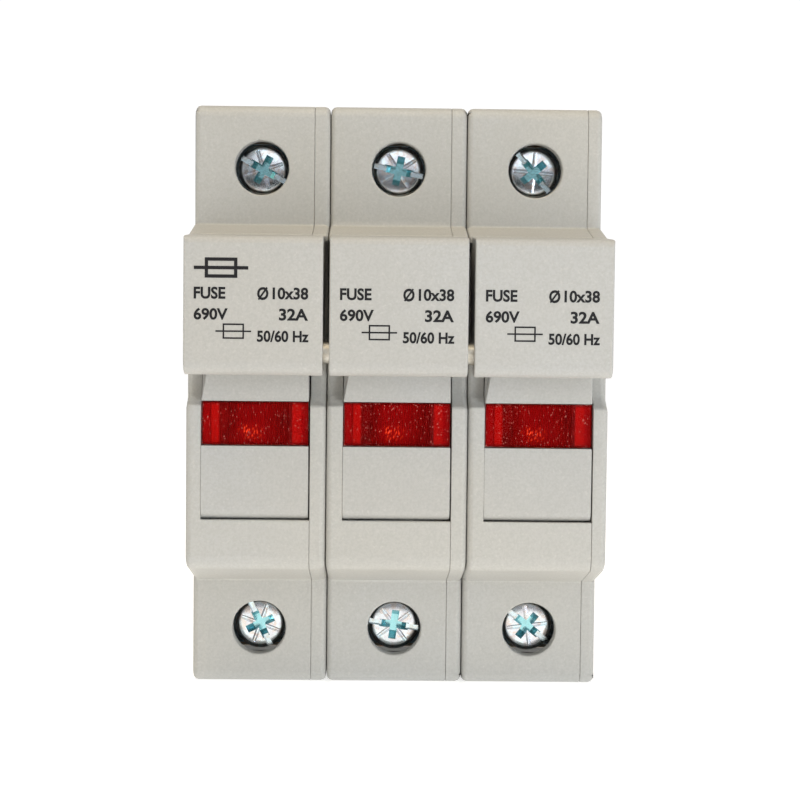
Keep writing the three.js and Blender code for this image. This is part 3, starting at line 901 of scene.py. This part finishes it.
class HOLDER_OT_printing(bpy.types.Operator):
    """Print the ratings and the fuse sign on the handles"""

    bl_idname = "holder.printing"
    bl_label = "Printing"

    def execute(self, context):
        for pole in POLES:
            middle = pole_middle(pole)
            bm = bmesh.new()
            for words, left, right, base, height in (
                ("FUSE", -7.3, -3.4, 12.5, 1.5),
                ("Ø", 0.5, 1.9, 12.4, 1.65),
                ("10x38", 2.4, 6.8, 12.5, 1.5),
                ("690V", -7.3, -3.1, 9.9, 1.5),
                ("32A", 3.2, 6.8, 9.9, 1.5),
                ("50/60 Hz", 0.5, 6.9, 7.25, 1.45),
            ):
                place = (middle + left * MM, middle + right * MM, base * MM)
                join_bmesh(bm, lettering(words, height * MM, *place))
            join_bmesh(bm, fuse_symbol(middle, -4.6, -0.2, 7.6, 9.5, 0.2))
            if pole == 1:
                join_bmesh(bm, fuse_symbol(middle, -7.3, -0.6, 15.1, 17.6, 0.42))
            ink_depth(bm)
            add_piece(f"handle_print_{pole}", bm, "carriers", "carrier", "ink")
        return {"FINISHED"}


# Red windows


def flute_profile(half, spacing):
    """X and depth of a fluted face, with plain margins left and right."""
    points = [(-half, 0)]
    start, end = -3.4 * MM, 4.4 * MM
    count = int((end - start) / spacing)
    for index in range(count + 1):
        across = start + index * spacing
        points.append((across, 0))
        points.append((across + spacing / 2, -0.12 * MM))
    points += [(end + spacing, 0), (half, 0)]
    return points


def window_lens(low, high):
    """The clear front of a window, a little wider than its node to close the gaps beside it."""
    bm = bmesh.new()
    block(
        bm, (low.x - 0.14 * MM, low.y + 0.03 * MM, low.z + 0.01 * MM),
        (high.x + 0.04 * MM, low.y + LENS_DEPTH, high.z - 0.01 * MM),
    )
    bevel_all(bm, 0.05 * MM)
    return bm


def window_back(low, high):
    """The fluted wall behind a window."""
    bm = bmesh.new()
    middle, front = (low.x + high.x) / 2, low.y + LENS_DEPTH + 0.2 * MM
    rim = [
        bm.verts.new((middle + across, front + deep, low.z + 0.03 * MM))
        for across, deep in flute_profile((high.x - low.x) / 2, sizes().flute)
    ]
    edges = [bm.edges.new(pair) for pair in zip(rim, rim[1:])]
    raised = bmesh.ops.extrude_edge_only(bm, edges=edges)["geom"]
    tops = [g for g in raised if isinstance(g, bmesh.types.BMVert)]
    bmesh.ops.translate(bm, verts=tops, vec=(0, 0, high.z - low.z - 0.06 * MM))
    wall = bmesh.ops.extrude_face_region(bm, geom=bm.faces[:])["geom"]
    for vert in wall:
        if isinstance(vert, bmesh.types.BMVert):
            vert.co.y = low.y + 1.35 * MM
    bmesh.ops.recalc_face_normals(bm, faces=bm.faces)
    return bm


class HOLDER_OT_windows(bpy.types.Operator):
    """Make the clear red windows with their fluted backs"""

    bl_idname = "holder.windows"
    bl_label = "Red windows"

    def execute(self, context):
        for pole in POLES:
            node = f"indicator_window_{pole}"
            lens, back = window_lens(*box_of(node)), window_back(*box_of(node))
            even_shading(add_piece(f"window_lens_{pole}", lens, "carriers", "window", "window", node))
            add_piece(f"window_flutes_{pole}", back, "carriers", "window", f"flutes_{pole}", node)
        return {"FINISHED"}


class HOLDER_OT_indicator(bpy.types.Operator):
    """Make the lamp and its resistor behind each window"""

    bl_idname = "holder.indicator"
    bl_label = "Lamps and resistors"

    def execute(self, context):
        lamp = [
            (0.28, -4.0), (0.6, -3.92), (1.05, -3.6), (1.27, -3.1), (1.27, 3.0), (1.1, 3.5),
            (0.65, 3.85), (0.28, 4.0),
        ]
        resistor = [
            (0.28, -3.0), (0.8, -2.98), (1.12, -2.75), (1.15, -2.1), (1.0, -1.6), (0.96, 0),
            (1.0, 1.6), (1.15, 2.1), (1.12, 2.75), (0.8, 2.98), (0.28, 3.0),
        ]
        for pole in POLES:
            for node, body, material, slot in (
                (f"indicator_lamp_{pole}", lamp, "lamp", "lamp_glass"),
                (f"indicator_resistor_{pole}", resistor, f"resistor_{pole}", "resistor"),
            ):
                profile = [(0, -5), (0.28, -5), *body, (0.28, 5), (0, 5)]
                bm = turned(profile, 24, "X")
                move(bm, middle_of(node))
                name = node.replace("indicator_", "glazed_")
                add_piece(name, bm, "carriers", slot, material, node)
        return {"FINISHED"}


# Fuses


def fuse_tube(node, radius):
    """A ceramic tube with chamfered ends."""
    low, high = box_of(node)
    half = (high.z - low.z) / 2 / MM
    side, shoulder = radius - 0.3, half - 0.3
    bm = turned([
        (0, -half), (side, -half), (radius, -shoulder), (radius, shoulder), (side, half), (0, half),
    ], 48)
    move(bm, middle_of(node))
    return bm


def fuse_cap(node, tube_radius, upwards):
    """A pressed cap with a dished end and a bead rolled round it."""
    low, high = box_of(node)
    outside, depth = (high.x - low.x) / 2 / MM, (high.z - low.z) / MM
    inside, bead = tube_radius + 0.1, outside - 0.12
    bm = turned([
        (0, depth), (outside - 1.6, depth), (outside - 1.2, depth - 0.08), (outside - 0.6, depth - 0.08),
        (outside - 0.2, depth - 0.2), (outside, depth - 0.65), (outside, 2.2), (bead, 1.9), (bead, 1.5),
        (outside, 1.2), (outside, 0.1), (outside - 0.08, 0), (inside, 0), (inside, depth - 0.5),
        (0, depth - 0.5),
    ], 48)
    if not upwards:
        turn(bm, HALF_TURN, "X")
    centre = middle_of(node)
    move(bm, (centre.x, centre.y, low.z if upwards else high.z))
    return bm


class HOLDER_OT_fuses(bpy.types.Operator):
    """Make the cartridge fuses: ceramic tubes with pressed caps"""

    bl_idname = "holder.fuses"
    bl_label = "Fuses"

    def execute(self, context):
        for pole in POLES:
            node = f"fuse_tube_{pole}"
            low, high = box_of(node)
            radius = (high.x - low.x) / 2 / MM
            name = f"ceramic_tube_{pole}"
            add_piece(name, fuse_tube(node, radius), "carriers", "ceramic", "ceramic", node)
            for end in ("upper", "lower"):
                node, name = f"fuse_cap_{end}_{pole}", f"pressed_cap_{end}_{pole}"
                bm = fuse_cap(node, radius, end == "upper")
                add_piece(name, bm, "carriers", "fuse_cap", "nickel", node)
        return {"FINISHED"}


# Terminals


def threaded(root, crest, pitch, start, end):
    """A thread along Z: one pitch of its profile swept in a helix, trimmed and closed."""
    bm = bmesh.new()
    verts = [
        bm.verts.new((radius, 0, start - pitch + height))
        for radius, height in ((root, 0), (crest, pitch * 0.42), (crest, pitch * 0.58), (root, pitch))
    ]
    edges = [bm.edges.new(pair) for pair in zip(verts, verts[1:])]
    turns = math.ceil((end - start) / pitch) + 2
    steps = 24
    bmesh.ops.spin(
        bm, geom=verts + edges, cent=(0, 0, 0), axis=(0, 0, 1), dvec=(0, 0, pitch / steps),
        angle=2 * HALF_TURN * turns, steps=steps * turns, use_merge=False, use_duplicate=False,
    )
    bmesh.ops.remove_doubles(bm, verts=bm.verts, dist=1e-6)
    for height, outward in ((start, -1), (end, 1)):
        trimmed = bmesh.ops.bisect_plane(
            bm, geom=bm.verts[:] + bm.edges[:] + bm.faces[:], dist=1e-8,
            plane_co=(0, 0, height), plane_no=(0, 0, outward), clear_outer=True,
        )
        rim = [g for g in trimmed["geom_cut"] if isinstance(g, bmesh.types.BMEdge)]
        bmesh.ops.contextual_create(bm, geom=rim)
    bmesh.ops.recalc_face_normals(bm, faces=bm.faces)
    return bm


def screw_head(radius, depth):
    """A cheese head with a cross recess, a slot and four ticks; its front is at z 0."""
    rim = radius / MM
    head = turned([
        (0, 0), (rim * 0.35, -0.015), (rim * 0.6, -0.045), (rim - 0.6, -0.09), (rim - 0.3, -0.15),
        (rim - 0.1, -0.26), (rim, -0.4), (rim, 0.15 - depth), (rim - 0.15, -depth), (0, -depth),
    ], 64)
    slot = bmesh.new()
    block(slot, (-radius - MM, -0.36 * MM, -0.7 * MM), (radius + MM, 0.36 * MM, MM))
    quarter, eighth = HALF_TURN / 2, HALF_TURN / 4
    cutters = [slot]
    for length, width, depth, ends, sides, angles in (
        (2.15, 0.52, 2.0, 0.52, 0.8, (0, quarter)),
        (2.85, 0.6, 0.36, 0.92, 0.1, (eighth, -eighth)),
    ):
        for angle in angles:
            wing = bmesh.new()
            low, high = (-length * MM, -width * MM, -depth * MM), (length * MM, width * MM, 0.4 * MM)
            for vert in block(wing, low, high):
                if vert.co.z < 0:
                    vert.co.x *= ends
                    vert.co.y *= sides
            turn(wing, angle, "Z")
            cutters.append(wing)
    return carve(head, cutters)


def terminal_screw(node, angle):
    """A screw at its node's place: head, neck, thread and tip, turned by an angle in degrees."""
    low, high = box_of(node)
    long = high.y - low.y
    foot = long / MM
    bm = screw_head(3.33 * MM, 2.4)
    join_bmesh(bm, turned([(0, -2.3), (2.0, -2.3), (2.0, -2.75), (1.8, -2.9), (0, -2.9)]))
    pitch = sizes().thread_pitch
    join_bmesh(bm, threaded(1.92 * MM, 2.34 * MM, pitch, 0.5 * MM - long, -2.7 * MM))
    tip = [(0, 0.6), (1.9, 0.6), (1.8, 0.3), (1.45, 0.02), (0, 0.02)]
    join_bmesh(bm, turned([(radius, height - foot) for radius, height in tip]))
    centre = (low + high) / 2
    place = (
        Matrix.Translation((centre.x, low.y, centre.z))
        @ Matrix.Rotation(math.radians(angle), 4, "Y")
        @ Matrix.Rotation(HALF_TURN / 2, 4, "X")
    )
    bmesh.ops.transform(bm, matrix=place, verts=bm.verts)
    return bm


class HOLDER_OT_screws(bpy.types.Operator):
    """Make the terminal screws with their recesses and threads"""

    bl_idname = "holder.screws"
    bl_label = "Terminal screws"

    def execute(self, context):
        for pole in POLES:
            for end, angle in zip(("upper", "lower"), SCREW_TURN[pole]):
                node, name = f"{end}_screw_{pole}", f"terminal_screw_{end}_{pole}"
                bm = terminal_screw(node, angle)
                add_piece(name, bm, f"{end}_screw_body_{pole}", "zinc_plate", "screw", node)
        return {"FINISHED"}


class HOLDER_OT_terminals(bpy.types.Operator):
    """Make the clamps, contacts, terminal bars and jaw springs"""

    bl_idname = "holder.terminals"
    bl_label = "Clamps and contacts"

    def execute(self, context):
        edge = sizes().metal_edge
        for pole in POLES:
            for end in ("upper", "lower"):
                clamp = f"{end}_clamp_body_{pole}"
                for part, name, body, slot, material, share in (
                    ("clamp", "wire_clamp", clamp, "zinc_plate", "zinc", 1),
                    ("contact", "contact_strip", "housing", "contact", "copper", 1),
                    ("jaw_spring", "jaw_clip", "housing", "spring_steel", "spring", 0.6),
                ):
                    name, node = f"{name}_{end}_{pole}", f"{end}_{part}_{pole}"
                    add_rounded_copy(name, node, body, slot, material, edge * share, edge)
        return {"FINISHED"}


# Latches, rivets and tie bar


class HOLDER_OT_latches(bpy.types.Operator):
    """Make the sliding rail latches"""

    bl_idname = "holder.latches"
    bl_label = "Rail latches"

    def execute(self, context):
        edge = sizes().hole_edge
        for pole in POLES:
            name, node = f"moulded_latch_{pole}", f"rail_latch_{pole}"
            add_rounded_copy(name, node, f"latch_body_{pole}", "latch", "latch", edge, edge)
        return {"FINISHED"}


def rod(node, end):
    """A rod across the node's box, alike at both ends; an end is [radius, inset] in millimetres."""
    low, high = box_of(node)
    half = (high.x - low.x) / 2 / MM
    first = [(radius, inset - half) for radius, inset in end]
    bm = turned(first + [(radius, -height) for radius, height in reversed(first)], 40, "X")
    move(bm, middle_of(node))
    return bm


class HOLDER_OT_fastenings(bpy.types.Operator):
    """Make the through rivets and the bar that ties the handles"""

    bl_idname = "holder.fastenings"
    bl_label = "Rivets and tie bar"

    def execute(self, context):
        dished = [
            (0, 0.22), (0.7, 0.22), (0.95, 0.06), (1.25, 0), (1.75, 0.04), (2.1, 0.16), (2.36, 0.4),
            (2.38, 0.46), (1.45, 0.5),
        ]
        for node in RIVET_NODES:
            name = node.replace("rivet", "through_rivet")
            add_piece(name, rod(node, dished), "housing", "rivet", "rivet", node)
        low, high = box_of("tie_bar")
        radius = (high.z - low.z) / 2 / MM
        end = [(0, 0), (radius - 0.3, 0), (radius - 0.08, 0.08), (radius, 0.3)]
        add_piece("handle_tie", rod("tie_bar", end), "carriers", "fuse_cap", "tie", "tie_bar")
        return {"FINISHED"}


# Studio


# Each area light: where it stands and looks, its width and height, its watts and its tint.
LIGHTS = {
    "key": ((0.26, -0.24, 0.06), (0, -0.04, 0), (0.16, 0.16), 0.13, (0.93, 0.97, 1)),
    "left": ((-0.22, -0.36, 0.16), (0, -0.05, 0), (0.10, 0.06), 0.05, (1, 0.84, 0.60)),
    "brow": ((0.02, -0.27, 0.085), (0.01, -0.04, 0.03), (0.14, 0.06), 0.032, (0.95, 0.98, 1)),
    "low_right": ((0.24, -0.42, -0.005), (0, -0.05, 0), (0.10, 0.06), 0.44, (0.87, 0.94, 1)),
    "overhead": ((-0.04, -0.17, 0.38), (0, -0.04, 0), (0.2, 0.2), 0.85, (1, 0.85, 0.62)),
}
CAMERA_PLACE = (-3.08 * MM, -285.66 * MM, 12.09 * MM)
CAMERA_PAN, CAMERA_TILT, CAMERA_ROLL = -0.842, -3.003, 0.609
CAMERA_LENS = 82.19
FLOOR_HALF, FLOOR_FRONT, FLOOR_DROP = 3, -0.42, 0.00005


def area_light(name, place, aim, size, watts, tint):
    lamp = bpy.data.lights.new(name, "AREA")
    lamp.shape = "RECTANGLE"
    lamp.size, lamp.size_y = size
    lamp.energy = watts
    lamp.color = tint
    made = bpy.data.objects.new(name, lamp)
    made.location = place
    made.rotation_mode = "QUATERNION"
    made.rotation_quaternion = (Vector(aim) - Vector(place)).to_track_quat("-Z", "Y")
    bpy.context.scene.collection.objects.link(made)


def studio_world():
    """A soft room: white backdrop, dark behind the camera; the camera itself sees only white."""
    world = bpy.data.worlds.new("studio")
    world.use_nodes = True
    tree = world.node_tree
    tree.nodes.clear()

    def made(kind, **inputs):
        node = tree.nodes.new(kind)
        for name, value in inputs.items():
            node.inputs[name.replace("_", " ")].default_value = value
        return node

    def eased(axis, start, end, low, high):
        """A strength that goes from low to high along one axis of the direction."""
        node = made("ShaderNodeMapRange", From_Min=start, From_Max=end, To_Min=low, To_Max=high)
        node.interpolation_type = "SMOOTHSTEP"
        tree.links.new(split.outputs[axis], node.inputs["Value"])
        return node.outputs[0]

    def combined(operation, first, second):
        node = made("ShaderNodeMath")
        node.operation = operation
        tree.links.new(first, node.inputs[0])
        tree.links.new(second, node.inputs[1])
        return node.outputs[0]

    at = made("ShaderNodeTexCoord")
    split = made("ShaderNodeSeparateXYZ")
    tree.links.new(at.outputs["Generated"], split.inputs[0])
    room, patch = 0.51, 0.04
    front = combined("MAXIMUM", eased("Y", -0.98, -0.9, patch, room), eased("Z", 0.0, 0.07, patch, room))
    backdrop = eased("Y", 0.45, 0.9, 0.0, 0.6)
    ramp = made("ShaderNodeValToRGB")
    ramp.color_ramp.elements[0].color = (0.62, 0.62, 0.63, 1)
    ramp.color_ramp.elements[1].color = (1.0, 0.99, 0.97, 1)
    tree.links.new(split.outputs["Z"], ramp.inputs["Fac"])
    soft = made("ShaderNodeBackground")
    tree.links.new(ramp.outputs["Color"], soft.inputs["Color"])
    tree.links.new(combined("ADD", front, backdrop), soft.inputs["Strength"])
    white = made("ShaderNodeBackground", Color=(1, 1, 1, 1), Strength=1.05)
    path = made("ShaderNodeLightPath")
    choose = made("ShaderNodeMixShader")
    tree.links.new(path.outputs["Is Camera Ray"], choose.inputs["Fac"])
    tree.links.new(soft.outputs[0], choose.inputs[1])
    tree.links.new(white.outputs[0], choose.inputs[2])
    tree.links.new(choose.outputs[0], made("ShaderNodeOutputWorld").inputs["Surface"])
    bpy.context.scene.world = world


class HOLDER_OT_studio(bpy.types.Operator):
    """Make the floor, the soft lights and the camera"""

    bl_idname = "holder.studio"
    bl_label = "Studio"

    def execute(self, context):
        bm = bmesh.new()
        bmesh.ops.create_grid(bm, x_segments=8, y_segments=8, size=FLOOR_HALF)
        move(bm, (0, FLOOR_HALF + FLOOR_FRONT, FLOOR_LEVEL - FLOOR_DROP))
        mesh = bpy.data.meshes.new("studio_floor")
        bm.to_mesh(mesh)
        bm.free()
        mesh.materials.append(finish("floor"))
        ground = bpy.data.objects.new("studio_floor", mesh)
        context.scene.collection.objects.link(ground)

        studio_world()
        for name, light in LIGHTS.items():
            area_light(name, *light)

        camera = bpy.data.cameras.new("camera")
        camera.sensor_width = 36
        camera.lens = CAMERA_LENS
        camera.clip_start, camera.clip_end = 0.01, 10
        made = bpy.data.objects.new("camera", camera)
        made.matrix_world = (
            Matrix.Translation(CAMERA_PLACE)
            @ Matrix.Rotation(math.radians(CAMERA_PAN), 4, "Z")
            @ Matrix.Rotation(math.radians(90 + CAMERA_TILT), 4, "X")
            @ Matrix.Rotation(math.radians(CAMERA_ROLL), 4, "Z")
        )
        context.scene.collection.objects.link(made)
        context.scene.camera = made
        context.scene.view_settings.view_transform = "Standard"
        return {"FINISHED"}


# Add-on


class HOLDER_PT_panel(bpy.types.Panel):
    """Lists the holder's pieces and settings"""

    bl_idname = "HOLDER_PT_panel"
    bl_label = "Fuse holder"
    bl_space_type = "VIEW_3D"
    bl_region_type = "UI"
    bl_category = "Fuse holder"

    def draw(self, context):
        for operator in OPERATORS:
            self.layout.operator(operator.bl_idname)
        for group in (context.scene.holder_sizes, context.scene.holder_colours):
            for name in group.__annotations__:
                self.layout.prop(group, name)


OPERATORS = [
    HOLDER_OT_housing,
    HOLDER_OT_carriers,
    HOLDER_OT_printing,
    HOLDER_OT_windows,
    HOLDER_OT_indicator,
    HOLDER_OT_fuses,
    HOLDER_OT_screws,
    HOLDER_OT_terminals,
    HOLDER_OT_latches,
    HOLDER_OT_fastenings,
    HOLDER_OT_studio,
]
CLASSES = [HolderSizes, HolderColours, *OPERATORS, HOLDER_PT_panel]


def register():
    for each in CLASSES:
        bpy.utils.register_class(each)
    bpy.types.Scene.holder_sizes = PointerProperty(type=HolderSizes)
    bpy.types.Scene.holder_colours = PointerProperty(type=HolderColours)


def unregister():
    del bpy.types.Scene.holder_colours
    del bpy.types.Scene.holder_sizes
    for each in reversed(CLASSES):
        bpy.utils.unregister_class(each)


def main():
    register()
    for operator in OPERATORS:
        category, name = operator.bl_idname.split(".")
        getattr(getattr(bpy.ops, category), name)()


if __name__ == "__main__":
    main()
